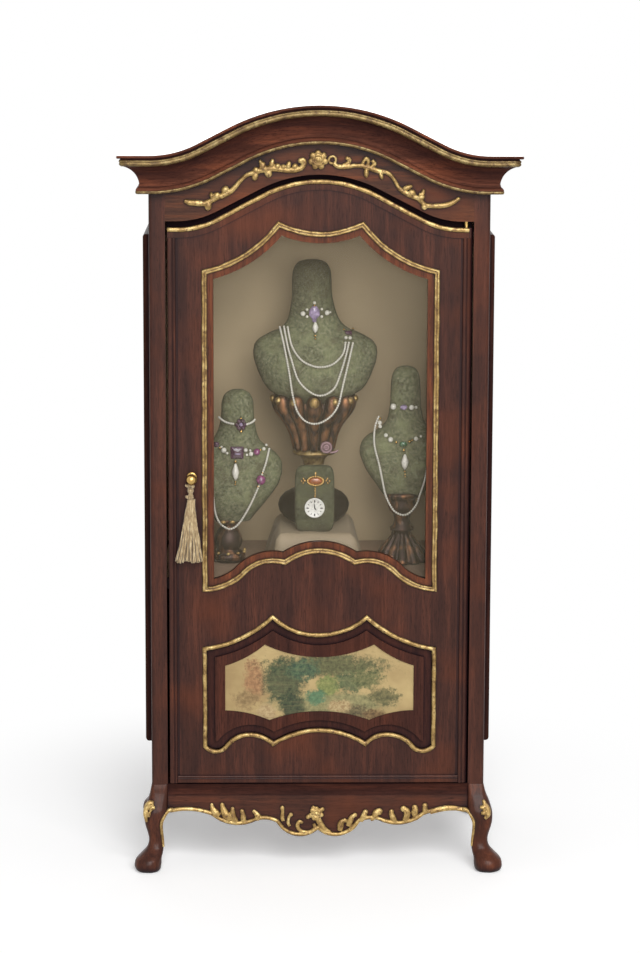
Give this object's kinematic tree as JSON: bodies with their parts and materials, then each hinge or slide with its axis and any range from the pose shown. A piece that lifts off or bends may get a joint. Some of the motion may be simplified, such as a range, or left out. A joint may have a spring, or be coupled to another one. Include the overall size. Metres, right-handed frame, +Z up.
{
  "type": "dolls house jewellery display armoire",
  "caption": "Miniature glazed armoire on cabriole legs: hooped cornice, gilt carving, right-hung door with a knob and tassel, and necklace busts on stands inside.",
  "frame": {"origin": "centre of the bounding box's footprint, on the floor under the feet", "axes": "+Z up, the glazed door faces -Y, +X to the right seen from the front"},
  "size_m": [0.094, 0.055, 0.1846],
  "materials": {
    "mahogany": "dark red-brown stained and varnished",
    "gilt": "carved and gold-painted",
    "glass": "clear, slightly hazy",
    "brass": "polished",
    "tassel_silk": "cream silk threads",
    "silk": "cream silk",
    "satin": "khaki satin",
    "velvet": "moss green flock",
    "bronze": "dark bronze with rubbed gilt",
    "ebonised": "black satin",
    "beads": "pearly seed beads and small stones",
    "jewel_gold": "gilt with a white dial",
    "print": "printed paper under varnish"
  },
  "bodies": {
    "case": {"apron_carving": "gilt", "apron_front": "mahogany", "apron_left": "mahogany", "apron_right": "mahogany", "back_board": "mahogany", "bottom_board": "mahogany", "bottom_rail": "mahogany", "brooch_watch": "jewel_gold", "bust_left": "velvet", "bust_middle": "velvet", "bust_right": "velvet", "cornice_front": "mahogany", "cornice_gilt": "gilt", "cornice_left": "mahogany", "cornice_right": "mahogany", "draped_dais": "silk", "frieze_board": "mahogany", "frieze_carving": "gilt", "frieze_rosette": "gilt", "knee_leaves": "gilt", "leg_back_left": "mahogany", "leg_back_right": "mahogany", "leg_front_left": "mahogany", "leg_front_right": "mahogany", "lining_back": "satin", "necklace_left": "beads", "necklace_middle": "beads", "necklace_right": "beads", "post_left": "mahogany", "post_right": "mahogany", "roof_board": "mahogany", "shelf_board": "mahogany", "shelf_cloth": "silk", "side_left": "mahogany", "side_panel_left": "mahogany", "side_panel_right": "mahogany", "side_right": "mahogany", "stand_left": "bronze", "stand_right": "bronze", "top_board": "mahogany", "urn_foot": "ebonised", "urn_middle": "bronze", "watch_pad": "velvet"},
    "door": {"door_knob": "brass", "door_top_gilt": "gilt", "glass_pane": "glass", "hinge_pins": "brass", "panel_field": "mahogany", "panel_gilt": "gilt", "picture": "print", "rail_bottom": "mahogany", "rail_middle": "mahogany", "rail_top": "mahogany", "stile_left": "mahogany", "stile_right": "mahogany", "window_gilt": "gilt", "window_slip": "mahogany"},
    "tassel": {"tassel_head": "tassel_silk", "tassel_skirt": "tassel_silk"}
  },
  "joints": [
    {"name": "door_hinge", "type": "hinge", "parent": "case", "child": "door", "pos_m": [0.03445, -0.019, 0.0214], "axis": [0, 0, 1], "range_deg": [0, 95]},
    {"name": "tassel_swing", "type": "hinge", "parent": "door", "child": "tassel", "pos_m": [-0.0301, -0.0221, 0.0964], "axis": [0, 1, 0], "range_deg": [-70, 70]}
  ]
}
